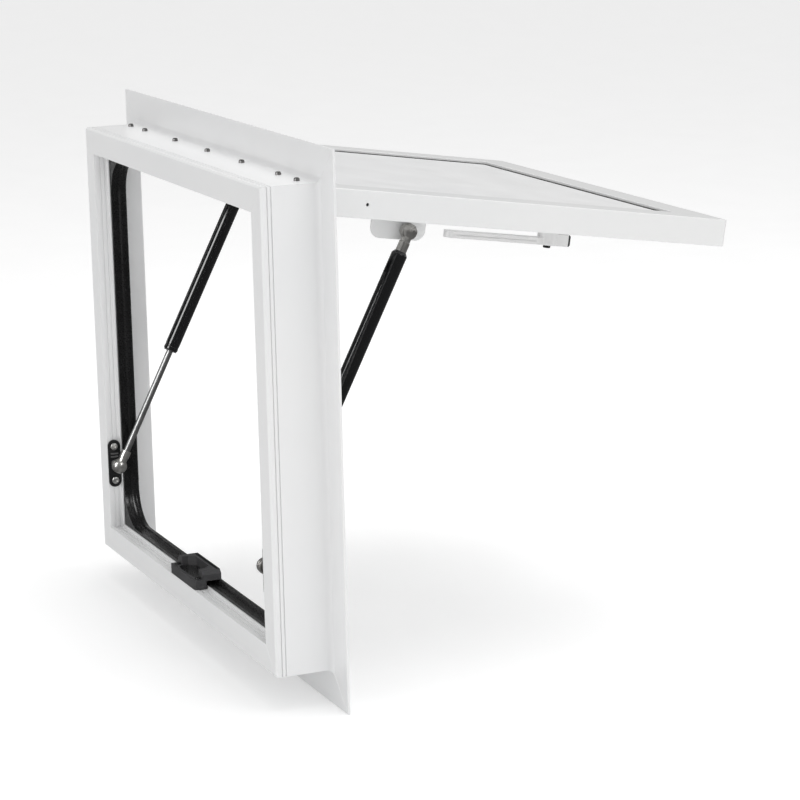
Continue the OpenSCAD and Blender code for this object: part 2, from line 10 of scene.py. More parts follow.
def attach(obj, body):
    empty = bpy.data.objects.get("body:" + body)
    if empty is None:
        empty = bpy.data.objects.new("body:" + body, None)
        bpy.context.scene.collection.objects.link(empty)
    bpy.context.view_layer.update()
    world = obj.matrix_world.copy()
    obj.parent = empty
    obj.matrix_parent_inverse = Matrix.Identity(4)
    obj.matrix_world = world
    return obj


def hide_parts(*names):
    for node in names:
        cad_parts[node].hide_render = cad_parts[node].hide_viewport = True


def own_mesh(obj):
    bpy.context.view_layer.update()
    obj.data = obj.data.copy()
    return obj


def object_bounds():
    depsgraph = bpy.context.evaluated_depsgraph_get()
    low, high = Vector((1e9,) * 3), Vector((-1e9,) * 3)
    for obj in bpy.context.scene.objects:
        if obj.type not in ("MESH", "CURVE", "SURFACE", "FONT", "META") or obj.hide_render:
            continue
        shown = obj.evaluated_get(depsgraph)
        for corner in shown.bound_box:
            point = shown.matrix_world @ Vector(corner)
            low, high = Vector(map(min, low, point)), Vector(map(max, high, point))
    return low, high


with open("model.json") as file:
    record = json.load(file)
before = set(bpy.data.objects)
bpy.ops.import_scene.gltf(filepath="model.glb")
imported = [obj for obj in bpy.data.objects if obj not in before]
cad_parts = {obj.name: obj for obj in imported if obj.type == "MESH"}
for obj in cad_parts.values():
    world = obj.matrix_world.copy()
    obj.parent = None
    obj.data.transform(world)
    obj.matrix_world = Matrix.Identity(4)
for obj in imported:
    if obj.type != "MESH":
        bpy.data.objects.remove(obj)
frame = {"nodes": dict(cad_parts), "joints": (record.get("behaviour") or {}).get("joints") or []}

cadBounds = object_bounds()
scene = bpy.context.scene
joints = {joint["name"]: joint for joint in frame["joints"]}
mm = 1000.0


# Measuring the frame, in millimetres

def corners(nodeName, turn=Matrix.Identity(4)):
    points = [turn @ (v.co * mm) for v in frame["nodes"][nodeName].data.vertices]
    low = Vector([min(p[i] for p in points) for i in range(3)])
    high = Vector([max(p[i] for p in points) for i in range(3)])
    return low, high


hingePoint = Vector(joints["sash_hinge"]["pos_m"]) * mm
openAngle = -math.radians(joints["sash_hinge"]["range_deg"][0])
openTurn = (
    Matrix.Translation(hingePoint) @ Matrix.Rotation(openAngle, 4, "X") @ Matrix.Translation(-hingePoint)
)  # from where a sash piece is when shut to where it is when open
shutTurn = openTurn.inverted()


# Outlines

def roundOutline(points, closed=True, steps=4):  # points are (a, b) or (a, b, radius)
    made = []
    count = len(points)
    for i, point in enumerate(points):
        radius = point[2] if len(point) > 2 else 0
        here = Vector(point[:2])
        ends = not closed and i in (0, count - 1)
        if radius <= 0 or ends:
            made.append(tuple(here))
            continue
        before = Vector(points[i - 1][:2]) - here
        after = Vector(points[(i + 1) % count][:2]) - here
        angle = before.angle(after)
        cut = min(radius / math.tan(angle / 2), before.length * 0.49, after.length * 0.49)
        radius = cut * math.tan(angle / 2)
        middle = here + (before.normalized() + after.normalized()).normalized() * radius / math.sin(angle / 2)
        start = here + before.normalized() * cut - middle
        end = here + after.normalized() * cut - middle
        sweep = start.angle_signed(end)
        for k in range(steps + 1):
            turn = -sweep * k / steps
            made.append((
                middle.x + start.x * math.cos(turn) - start.y * math.sin(turn),
                middle.y + start.x * math.sin(turn) + start.y * math.cos(turn),
            ))
    return made


def shrunk(outline, amount):
    area = sum(a[0] * b[1] - b[0] * a[1] for a, b in zip(outline, outline[1:] + outline[:1]))
    way = amount if area > 0 else -amount
    made = []
    for i, point in enumerate(outline):
        here = Vector(point)
        into = (here - Vector(outline[i - 1])).normalized()
        out = (Vector(outline[(i + 1) % len(outline)]) - here).normalized()
        along = into + out
        along = along.normalized() if along.length > 1e-6 else into
        made.append(tuple(here + Vector((-along.y, along.x)) * way))
    return made


def arc(a, b, radius, start, end, steps):
    return [
        (a + radius * math.cos(math.radians(start + (end - start) * k / steps)),
         b + radius * math.sin(math.radians(start + (end - start) * k / steps)))
        for k in range(steps + 1)
    ]


def boxOutline(halfA, halfB, radius=0, middle=(0, 0)):
    a, b = middle
    points = [(a - halfA, b - halfB, radius), (a + halfA, b - halfB, radius),
              (a + halfA, b + halfB, radius), (a - halfA, b + halfB, radius)]
    return roundOutline(points, steps=8)


# Building meshes

def addRings(bm, rings, joined=False):  # faces run from each ring of points to the next
    placed = [[bm.verts.new(p) for p in ring] for ring in rings]
    following = placed[1:] + (placed[:1] if joined else [])  # a joined set closes on its first ring
    for lower, upper in zip(placed, following):
        for i in range(len(lower)):
            j = (i + 1) % len(lower)
            bm.faces.new((lower[i], lower[j], upper[j], upper[i]))
    return placed


def addCap(bm, loops):  # the first loop is the edge and the others are holes
    flat = [v for loop in loops for v in loop]
    for tri in tessellate_polygon([[v.co for v in loop] for loop in loops]):
        if len(set(tri)) == 3:
            bm.faces.new([flat[i] for i in tri])


# A straight solid along one axis; the outline's two numbers are the other two axes in order
def addPrism(bm, outline, low, high, axis, holes=()):
    def place(pair, height):
        a, b = pair
        return {"X": (height, a, b), "Y": (a, height, b), "Z": (a, b, height)}[axis]

    ends = [[], []]
    for loop in [outline, *holes]:
        placed = addRings(bm, [[place(p, low) for p in loop], [place(p, high) for p in loop]])
        ends[0].append(placed[0])
        ends[1].append(placed[1])
    for loops in ends:
        addCap(bm, loops)


def ringAt(radius, height, turn, steps):
    angles = [math.tau * k / steps for k in range(steps)]
    return [turn @ Vector((radius * math.cos(angle), radius * math.sin(angle), height)) for angle in angles]


# A solid turned about Z; the outline is (radius, height) from pole to pole
def addLathe(bm, outline, turn=Matrix.Identity(4), steps=48):
    rings = []
    for radius, height in outline:
        pole = radius < 1e-6
        points = [turn @ Vector((0, 0, height))] if pole else ringAt(radius, height, turn, steps)
        rings.append([bm.verts.new(p) for p in points])
    for lower, upper in zip(rings, rings[1:]):
        for k in range(steps):
            n = (k + 1) % steps
            if len(lower) == 1:
                bm.faces.new((lower[0], upper[n], upper[k]))
            elif len(upper) == 1:
                bm.faces.new((lower[k], lower[n], upper[0]))
            else:
                bm.faces.new((lower[k], lower[n], upper[n], upper[k]))


def meshFrom(target):
    bm = bmesh.new()
    bm.from_mesh(target.data)
    return bm


def fillMesh(mesh, bm):
    bmesh.ops.remove_doubles(bm, verts=bm.verts, dist=1e-5)
    bmesh.ops.recalc_face_normals(bm, faces=bm.faces)
    bm.to_mesh(mesh)
    bm.free()


def newObject(name, data):
    made = bpy.data.objects.new(name, data)
    scene.collection.objects.link(made)
    return made


def objectFrom(bm, name):
    mesh = bpy.data.meshes.new(name)
    fillMesh(mesh, bm)
    return newObject(name, mesh)


def prismObject(name, *shape):
    bm = bmesh.new()
    addPrism(bm, *shape)
    return objectFrom(bm, name)


def latheObject(name, *shape):
    bm = bmesh.new()
    addLathe(bm, *shape)
    return objectFrom(bm, name)


def applyModifiers(target):
    bpy.context.view_layer.update()
    evaluated = target.evaluated_get(bpy.context.evaluated_depsgraph_get())
    mesh = bpy.data.meshes.new_from_object(evaluated)
    target.modifiers.clear()
    target.data = mesh
    return target


def combine(target, other, operation="DIFFERENCE"):
    cut = target.modifiers.new("cut", "BOOLEAN")
    cut.operation, cut.solver, cut.object = operation, "EXACT", other
    applyModifiers(target)
    bpy.data.objects.remove(other)
    return target


sharpEdge, smoothBelow = math.radians(28), math.radians(32)


def soften(target, width):  # rounds every sharp edge
    bm = meshFrom(target)
    bmesh.ops.remove_doubles(bm, verts=bm.verts, dist=1e-4)
    bmesh.ops.dissolve_limit(bm, angle_limit=math.radians(0.5), verts=bm.verts, edges=bm.edges)
    bm.to_mesh(target.data)
    bm.free()
    bevel = target.modifiers.new("soften", "BEVEL")
    bevel.width, bevel.segments, bevel.limit_method = width, 3, "ANGLE"
    bevel.angle_limit = sharpEdge
    bevel.use_clamp_overlap = True
    return applyModifiers(target)


def evenNormals(piece):
    weighted = piece.modifiers.new("evenNormals", "WEIGHTED_NORMAL")
    weighted.mode, weighted.weight, weighted.keep_sharp = "FACE_AREA", 80, True
    return applyModifiers(piece)


# Puts a piece made in millimetres in place, shades it and ties it to the frame
def finishPiece(piece, body, material, nodes=(), turn=Matrix.Identity(4)):
    piece.data.transform(Matrix.Scale(1 / mm, 4) @ turn)
    piece.data.materials.clear()
    piece.data.materials.append(material)
    piece.data.shade_smooth()
    piece.data.set_sharp_from_angle(angle=smoothBelow)
    evenNormals(piece)
    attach(piece, body)
    if nodes:
        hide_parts(*nodes)


# Materials

def link(tree, fromSocket, toSocket):
    tree.links.new(fromSocket, toSocket)


# Base colour and roughness wander with broad and fine noise, and bump gives the grain
def surface(name, look):
    material = bpy.data.materials.new(name)
    material.use_nodes = True
    tree = material.node_tree
    tree.nodes.clear()
    output = tree.nodes.new("ShaderNodeOutputMaterial")
    shader = tree.nodes.new("ShaderNodeBsdfPrincipled")
    shader.inputs["Metallic"].default_value = look.get("metal", 0)
    shader.inputs["Specular IOR Level"].default_value = look.get("specular", 0.5)
    shader.inputs["Coat Weight"].default_value = look.get("coat", 0)
    shader.inputs["Coat Roughness"].default_value = look.get("coatRough", 0.05)
    shader.inputs["Emission Color"].default_value = (1, 1, 1, 1)
    shader.inputs["Emission Strength"].default_value = look.get("glow", 0)
    link(tree, shader.outputs["BSDF"], output.inputs["Surface"])

    place = tree.nodes.new("ShaderNodeTexCoord")
    mapping = tree.nodes.new("ShaderNodeMapping")
    mapping.inputs["Scale"].default_value = look.get("stretch", (1, 1, 1))
    link(tree, place.outputs["Object"], mapping.inputs["Vector"])

    broad = tree.nodes.new("ShaderNodeTexNoise")
    broad.inputs["Scale"].default_value = look.get("broad", 9)
    broad.inputs["Detail"].default_value = 5
    link(tree, mapping.outputs["Vector"], broad.inputs["Vector"])
    fine = tree.nodes.new("ShaderNodeTexNoise")
    fine.inputs["Scale"].default_value = look.get("fine", 600)
    fine.inputs["Detail"].default_value = 3
    link(tree, mapping.outputs["Vector"], fine.inputs["Vector"])

    tint = tree.nodes.new("ShaderNodeValToRGB")
    low, high = look["colours"]
    tint.color_ramp.elements[0].position, tint.color_ramp.elements[1].position = 0.3, 0.7
    tint.color_ramp.elements[0].color = (*low, 1)
    tint.color_ramp.elements[1].color = (*high, 1)
    link(tree, broad.outputs["Fac"], tint.inputs["Fac"])
    colour = tint.outputs["Color"]
    if look.get("speck"):
        mix = tree.nodes.new("ShaderNodeMix")
        mix.data_type, mix.blend_type = "RGBA", "MULTIPLY"
        dark = tree.nodes.new("ShaderNodeMapRange")
        dark.inputs["From Min"].default_value, dark.inputs["From Max"].default_value = 0.35, 0.65
        dark.inputs["To Min"].default_value, dark.inputs["To Max"].default_value = 1 - look["speck"], 1
        link(tree, fine.outputs["Fac"], dark.inputs["Value"])
        mix.inputs["Factor"].default_value = 1
        link(tree, colour, mix.inputs["A"])
        link(tree, dark.outputs["Result"], mix.inputs["B"])
        colour = mix.outputs["Result"]
    link(tree, colour, shader.inputs["Base Color"])

    rough = tree.nodes.new("ShaderNodeMapRange")
    rough.inputs["From Min"].default_value, rough.inputs["From Max"].default_value = 0.3, 0.7
    rough.inputs["To Min"].default_value, rough.inputs["To Max"].default_value = look["rough"]
    link(tree, (broad if look.get("roughBroad") else fine).outputs["Fac"], rough.inputs["Value"])
    link(tree, rough.outputs["Result"], shader.inputs["Roughness"])

    bump = tree.nodes.new("ShaderNodeBump")
    bump.inputs["Strength"].default_value = look.get("bump", 0.1)
    bump.inputs["Distance"].default_value = 0.0001
    link(tree, fine.outputs["Fac"], bump.inputs["Height"])
    link(tree, bump.outputs["Normal"], shader.inputs["Normal"])
    return material


looks = {
    "powderWhite": dict(colours=((0.84, 0.845, 0.85), (0.87, 0.87, 0.87)), rough=(0.30, 0.40), fine=900,
                        bump=0.02, broad=4, coat=0.15, coatRough=0.2),
    # The sash's white is the frame's powder coat painted a shade darker: painted shade on the sash.
    "sashWhiteShaded": dict(colours=((0.81, 0.815, 0.815), (0.84, 0.84, 0.835)), rough=(0.28, 0.38), fine=900,
                      bump=0.02, broad=4, coat=0.15, coatRough=0.2),
    "hingeAluminium": dict(colours=((0.62, 0.62, 0.63), (0.74, 0.74, 0.74)), metal=1, rough=(0.28, 0.42),
                           stretch=(0.04, 1, 1), fine=900, broad=40, bump=0.12),
    "zincSteel": dict(colours=((0.52, 0.52, 0.51), (0.68, 0.67, 0.65)), metal=1, rough=(0.3, 0.45),
                      fine=700, broad=160, bump=0.12, roughBroad=True),
    "dullSteel": dict(colours=((0.14, 0.14, 0.14), (0.22, 0.215, 0.21)), metal=1, rough=(0.42, 0.55),
                      fine=700, broad=160, bump=0.12, roughBroad=True),
    "socketSteel": dict(colours=((0.40, 0.39, 0.375), (0.52, 0.51, 0.49)), metal=1, rough=(0.26, 0.38),
                        fine=500, broad=90, bump=0.06, roughBroad=True),
    "chromeRod": dict(colours=((0.20, 0.20, 0.20), (0.27, 0.27, 0.27)), metal=1, rough=(0.38, 0.46),
                      fine=900, broad=60, bump=0.03),
    "tubeBlack": dict(colours=((0.002, 0.002, 0.0025), (0.005, 0.005, 0.0055)), rough=(0.10, 0.16), fine=380,
                      broad=20, bump=0.03, specular=0.5),
    "bracketBlack": dict(colours=((0.007, 0.007, 0.008), (0.016, 0.016, 0.017)), rough=(0.35, 0.5), fine=700,
                         broad=60, bump=0.12, speck=0.25, specular=0.35),
    "sealRubber": dict(colours=((0.004, 0.004, 0.004), (0.009, 0.009, 0.0095)), rough=(0.24, 0.34), fine=500,
                       broad=25, bump=0.05, speck=0.1, specular=0.3),
    "greyNylon": dict(colours=((0.048, 0.048, 0.050), (0.072, 0.072, 0.075)), rough=(0.45, 0.62), fine=900,
                      broad=30, bump=0.2, speck=0.2, specular=0.35),
    # The ribs' grey is lighter than the black plate they belong to and stands in for the light the raised
    # ribs catch: painted highlight.
    "ribHighlightNylon": dict(colours=((0.10, 0.10, 0.10), (0.16, 0.16, 0.16)), rough=(0.45, 0.62), fine=900,
                      broad=60, bump=0.15, specular=0.35),
    "whiteNylon": dict(colours=((0.74, 0.74, 0.74), (0.80, 0.80, 0.795)), rough=(0.30, 0.42), fine=800,
                       broad=20, bump=0.05),
    "paneSheet": dict(colours=((0.86, 0.865, 0.87), (0.89, 0.89, 0.89)), rough=(0.28, 0.34), fine=20,
                      broad=2, bump=0.001),
}
finish = {name: surface(name, look) for name, look in looks.items()}
print("materials made:", len(finish))


# Frame rails: one mitred extrusion on each side

frameSizes = {
    "flangeWidth": 40, "flangeThick": 3, "wall": 2, "edgeChamfer": 1.2, "faceWidth": 30.5, "lipHeight": 33,
    "lipThick": 2, "seatDepth": 19, "reveal": 30, "frontStrip": 5, "frontBevel": 2, "cove": 7,
    "grooveWide": 1.3, "grooveDeep": 1.5, "sideGrooves": (6.5, 11), "revealGrooves": (7, 12.5),
    "revealDeep": 1.0, "edge": 0.35, "flangeEdge": 0.8, "mitreGap": 0.1, "mitreLine": 0.3, "mitreDip": 0.22,
}
jambLow, jambHigh = corners("frame_right_jamb")
barrelX = jambHigh.x - frameSizes["flangeWidth"]
barrelZ = corners("frame_top_rail")[1].z - frameSizes["flangeWidth"]
frontY = jambLow.y
seatY = frontY + frameSizes["seatDepth"]


def barrelOutline():
    s = frameSizes
    edge, wide, deep = s["edge"], s["grooveWide"], s["grooveDeep"]
    back = s["lipThick"]
    points = [
        (0, -s["flangeWidth"], edge), (s["flangeThick"], -s["flangeWidth"], s["flangeEdge"]),
        (s["flangeThick"], s["wall"] - s["edgeChamfer"], edge),
        (s["flangeThick"] - s["edgeChamfer"], s["wall"], edge),
        (seatY, s["wall"], 0.2), (seatY, s["lipHeight"], 0.5), (seatY - back, s["lipHeight"], 0.5),
        (seatY - back, s["reveal"], 0.3),
    ]
    for groove in reversed(s["revealGrooves"]):
        y = frontY + groove
        points += [(y + wide, s["reveal"], 0.15), (y + wide, s["reveal"] - s["revealDeep"], 0.1),
                   (y, s["reveal"] - s["revealDeep"], 0.1), (y, s["reveal"], 0.15)]
    strip = frontY + s["frontStrip"]
    points += [
        (strip, s["reveal"], 0.1), (strip, s["faceWidth"], 0.2), (frontY, s["faceWidth"], edge),
        (frontY, s["frontBevel"], 0.5), (frontY + s["frontBevel"], 0, 0.5),
    ]
    for groove in s["sideGrooves"]:
        y = frontY + groove
        points += [(y, 0, 0.15), (y, deep, 0.1), (y + wide, deep, 0.1), (y + wide, 0, 0.15)]
    points += [tuple(p) for p in arc(-s["cove"], -s["cove"], s["cove"], 90, 0, 10)]
    return roundOutline(points, steps=3)


# How far along a member a point at that depth ends, and its depth there, going round the corner
def memberEnd(half, depth, angle, corner):
    if 0 <= depth < corner:
        return half - corner + (corner - depth) * math.sin(angle), corner - (corner - depth) * math.cos(angle)
    return half - depth, depth


# The side is top, bottom, left or right, and the outline's points are (y, depth inwards)
def addMember(bm, outline, hole, side, halfX, halfZ, middleZ, corner, mitre):
    half = halfX if side in ("top", "bottom") else halfZ
    mitreAngle = math.pi / 4
    steps = 6 if corner else 0
    ends = [(mitreAngle * k / steps, mitre["line"], 0) for k in range(steps)]
    ends += [(mitreAngle, mitre["line"], 0), (mitreAngle, mitre["gap"], mitre["dip"])]

    def place(along, y, depth):
        return {
            "top": (along, y, middleZ + halfZ - depth), "bottom": (along, y, middleZ - halfZ + depth),
            "right": (halfX - depth, y, middleZ + along), "left": (-halfX + depth, y, middleZ + along),
        }[side]

    caps = [[], []]
    for loop, dips in ((outline, True), (hole, False)):
        rings = []
        for way in (-1, 1):
            order = ends if way > 0 else ends[::-1]
            for angle, back, dip in order:
                ring = []
                for y, depth in (shrunk(loop, dip) if dips and dip else loop):
                    along, there = memberEnd(half, depth, angle, corner)
                    ring.append(place(way * (along - back), y, there))
                rings.append(ring)
        placed = addRings(bm, rings)
        caps[0].append(placed[0])
        caps[1].append(placed[-1])
    for loops in caps:
        addCap(bm, loops)


def mitreOf(sizes):
    return {"line": sizes["mitreLine"], "gap": sizes["mitreGap"] / 2, "dip": sizes["mitreDip"]}


seatDepth, faceWidth, wall = (frameSizes[key] for key in ("seatDepth", "faceWidth", "wall"))
chamberHole = boxOutline(seatDepth / 2 - wall, faceWidth / 2 - wall, 0,
                         (frontY + seatDepth / 2, faceWidth / 2))
for side, node in (("top", "frame_top_rail"), ("bottom", "frame_bottom_rail"),
                   ("left", "frame_left_jamb"), ("right", "frame_right_jamb")):
    bm = bmesh.new()
    addMember(bm, barrelOutline(), chamberHole, side, barrelX, barrelZ, 0, 0, mitreOf(frameSizes))
    rail = objectFrom(bm, "frame" + side.capitalize() + "Rail")
    finishPiece(rail, "frame", finish["powderWhite"], [node])
print("frame rails made")


# Bulb seal and glazing gasket: an outline swept round the window by Geometry Nodes

def newTree(name, inputs):  # inputs are (name, kind of socket), in order
    tree = bpy.data.node_groups.new(name, "GeometryNodeTree")
    for label, kind in inputs:
        tree.interface.new_socket(name=label, in_out="INPUT", socket_type="NodeSocket" + kind)
    tree.interface.new_socket(name="Geometry", in_out="OUTPUT", socket_type="NodeSocketGeometry")
    return tree


def loopTree():
    tree = newTree("sweptLoop", (("Width", "Float"), ("Height", "Float"), ("Corner Radius", "Float"),
                                 ("Corner Steps", "Int"), ("Section", "Object"), ("Finish", "Material")))
    nodes = tree.nodes
    start, end = nodes.new("NodeGroupInput"), nodes.new("NodeGroupOutput")
    path = nodes.new("GeometryNodeCurvePrimitiveQuadrilateral")
    fillet = nodes.new("GeometryNodeFilletCurve")
    normal = nodes.new("GeometryNodeSetCurveNormal")
    section = nodes.new("GeometryNodeObjectInfo")
    sweep = nodes.new("GeometryNodeCurveToMesh")
    realize = nodes.new("GeometryNodeRealizeInstances")
    paint = nodes.new("GeometryNodeSetMaterial")
    fillet.mode, normal.mode = "POLY", "Z_UP"
    fillet.inputs["Limit Radius"].default_value = True
    link(tree, start.outputs["Width"], path.inputs["Width"])
    link(tree, start.outputs["Height"], path.inputs["Height"])
    link(tree, path.outputs["Curve"], fillet.inputs["Curve"])
    link(tree, start.outputs["Corner Radius"], fillet.inputs["Radius"])
    link(tree, start.outputs["Corner Steps"], fillet.inputs["Count"])
    link(tree, fillet.outputs["Curve"], normal.inputs["Curve"])
    link(tree, normal.outputs["Curve"], sweep.inputs["Curve"])
    link(tree, start.outputs["Section"], section.inputs["Object"])
    link(tree, section.outputs["Geometry"], sweep.inputs["Profile Curve"])
    link(tree, sweep.outputs["Mesh"], realize.inputs["Geometry"])
    link(tree, realize.outputs["Geometry"], paint.inputs["Geometry"])
    link(tree, start.outputs["Finish"], paint.inputs["Material"])
    link(tree, paint.outputs["Geometry"], end.inputs["Geometry"])
    return tree


def setInputs(modifier, tree, values):
    for item in tree.interface.items_tree:
        if item.in_out == "INPUT" and item.name in values:
            modifier[item.identifier] = values[item.name]


def sectionCurve(outline):
    curve = bpy.data.curves.new("section", "CURVE")
    curve.dimensions = "3D"
    line = curve.splines.new("POLY")
    line.points.add(len(outline) - 1)
    for point, (a, b) in zip(line.points, outline):
        point.co = (a, b, 0, 1)
    line.use_cyclic_u = True
    return newObject("section", curve)


# The outline's points are (outwards from the path, y)
def sweptLoop(name, tree, outline, halfX, halfZ, corner, material, middleZ=0):
    section = sectionCurve(outline)
    made = newObject(name, bpy.data.meshes.new(name))
    modifier = made.modifiers.new("sweptLoop", "NODES")
    modifier.node_group = tree
    setInputs(modifier, tree, {"Width": 2 * halfX, "Height": 2 * halfZ, "Corner Radius": corner,
                               "Corner Steps": 16, "Section": section, "Finish": material})
    applyModifiers(made)
    bpy.data.objects.remove(section)
    made.data.transform(Matrix.Translation((0, 0, middleZ)) @ Matrix.Rotation(math.pi / 2, 4, "X"))
    fillMesh(made.data, meshFrom(made))
    return made


sealSizes = {
    "baseThick": 4, "baseOut": 11, "baseIn": 3, "baseCorner": 45, "bulb": 6.2, "bulbReach": 20,
    "corner": 48, "neck": 2.6, "neckHeight": 2.2, "sunk": 0.6, "lift": 0.02, "ridge": 0.5, "ridgeRoot": 0.3,
    "ridgesOut": (7.5, 9.3),
}
swept = loopTree()
lipX, lipZ = barrelX - frameSizes["lipHeight"], barrelZ - frameSizes["lipHeight"]


def bulbOutline():
    s = sealSizes
    bulbMiddle = seatY + s["bulbReach"] - s["bulb"]
    base = seatY + s["baseThick"] - s["sunk"]
    foot, neckTop = s["neck"] + s["sunk"], base + s["neckHeight"]
    spread = math.degrees(math.asin(s["neck"] / s["bulb"]))
    ring = arc(0, bulbMiddle, s["bulb"], -90 + spread, 270 - spread, 30)
    return [(-foot, base), (foot, base), (s["neck"], neckTop), *ring, (-s["neck"], neckTop)]


def lipOutline(outwards, radius=0):  # a loop at that distance outside the lip's edge
    return boxOutline(lipX + outwards, lipZ + outwards, radius)


bulb = sweptLoop("bulbSeal", swept, bulbOutline(), lipX, lipZ, sealSizes["corner"], finish["sealRubber"])
bm = meshFrom(bulb)
baseFront = seatY + sealSizes["baseThick"]
addPrism(bm, lipOutline(sealSizes["baseOut"]), seatY + sealSizes["lift"], baseFront, "Y",
         [lipOutline(-sealSizes["baseIn"], sealSizes["baseCorner"])])
half = sealSizes["ridge"] / 2
for ridge in sealSizes["ridgesOut"]:  # fine ribs along the flat base
    addPrism(bm, lipOutline(ridge + half, 3), baseFront - sealSizes["ridgeRoot"],
             baseFront + sealSizes["ridge"], "Y", [lipOutline(ridge - half, 2.5)])
fillMesh(bulb.data, bm)
finishPiece(bulb, "frame", finish["sealRubber"], ["bulb_seal"])
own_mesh(bulb)
print("seal made")


# Sash members and the pane's gasket, made shut and turned open

sashSizes = {
    "wall": 2.2, "edge": 1.0, "ledge": 10, "ledgeThick": 2, "gasket": 1, "corner": 4, "mitreGap": 0.1,
    "mitreLine": 0.12, "mitreDip": 0.05, "hole": 1.8, "holeBelowPin": 64.5, "drillReach": 4,
    "relief": 0.6,
}
sideLow, sideHigh = corners("sash_right_member", shutTurn)
paneLow, paneHigh = corners("pane", shutTurn)
sashX = sideHigh.x
sashLow, sashTop = sideLow.z, sideHigh.z
sashZ, sashMid = (sashTop - sashLow) / 2, (sashTop + sashLow) / 2
sashBack, sashOuter = sideLow.y, sideHigh.y
memberWide = sashX - corners("glazing_gasket", shutTurn)[1].x
paneEdge = sashX - paneHigh.x
ledgeY = paneLow.y - sashSizes["gasket"]
knuckleR = corners("hinge_sash_leaf", shutTurn)[1].z - hingePoint.z


def sashOutline(side):
    s = sashSizes
    edge, thick, ledge = s["edge"], s["ledgeThick"], memberWide + s["ledge"]
    outer = [(sashOuter, 0, edge)]
    if side == "top":  # hollowed for the hinge knuckles
        reach = knuckleR + s["relief"]
        drop, out = hingePoint.z - sashTop, sashOuter - hingePoint.y
        first = -math.degrees(math.acos(out / reach))
        last = -180 + math.degrees(math.asin(drop / reach))
        outer = [(hingePoint.y + a, sashTop - hingePoint.z - b)
                 for a, b in arc(0, 0, reach, first, last, 8)]
    points = outer + [
        (sashBack, 0, edge), (sashBack, memberWide, edge), (ledgeY - thick, memberWide, 0.8),
        (ledgeY - thick, ledge, 0.5), (ledgeY, ledge, 0.5), (ledgeY, memberWide, 0.2),
        (sashOuter, memberWide, 0.6),
    ]
    return roundOutline(points, steps=4)


sashMiddle = (sashOuter + sashBack) / 2
sashHole = boxOutline((sashOuter - sashBack) / 2 - sashSizes["wall"], memberWide / 2 - sashSizes["wall"], 0,
                      (sashMiddle, memberWide / 2))
for side in ("top", "bottom", "left", "right"):
    bm = bmesh.new()
    addMember(bm, sashOutline(side), sashHole, side, sashX, sashZ, sashMid, sashSizes["corner"],
              mitreOf(sashSizes))
    member = objectFrom(bm, "sash" + side.capitalize() + "Member")
    if side in ("left", "right"):
        way, radius = (1 if side == "right" else -1), sashSizes["hole"]
        centre = (sashMiddle, hingePoint.z - sashSizes["holeBelowPin"])
        reach = sorted((way * (sashX - sashSizes["drillReach"]), way * (sashX + sashSizes["drillReach"])))
        combine(member, prismObject("drill", boxOutline(radius, radius, radius * 0.999, centre), *reach, "X"))
    # The members take the sash's darker white, which is painted shade.
    finishPiece(member, "sash", finish["sashWhiteShaded"], ["sash_" + side + "_member"], openTurn)
print("sash members made")

gasketSizes = {"lip": 4.4, "proud": 0.8, "under": 7, "corner": 5, "fit": 0.1}


def gasketOutline():
    s, fit = gasketSizes, gasketSizes["fit"]
    side, low, front = memberWide + fit, ledgeY + fit, paneHigh.y + gasketSizes["proud"]
    points = [
        (side, low, 0.2), (side, front, 0.3), (side + s["lip"], front, 0.5),
        (side + s["lip"], paneHigh.y + fit, 0.1), (paneEdge - fit, paneHigh.y + fit, 0.1),
        (paneEdge - fit, paneLow.y - fit, 0.1), (side + s["under"], paneLow.y - fit, 0.1),
        (side + s["under"], low, 0.3),
    ]
    return [(memberWide - u, y) for u, y in roundOutline(points, steps=2)]


gasket = sweptLoop("glazingGasket", swept, gasketOutline(), sashX - memberWide, sashZ - memberWide,
                   gasketSizes["corner"], finish["sealRubber"], sashMid)
finishPiece(gasket, "sash", finish["sealRubber"], ["glazing_gasket"], openTurn)
print("gasket made")


# Screws: one head placed at every seat by Geometry Nodes

def seatValue(nodes, name):
    value = nodes.new("GeometryNodeInputNamedAttribute")
    value.data_type = "FLOAT_VECTOR"
    value.inputs["Name"].default_value = name
    return value


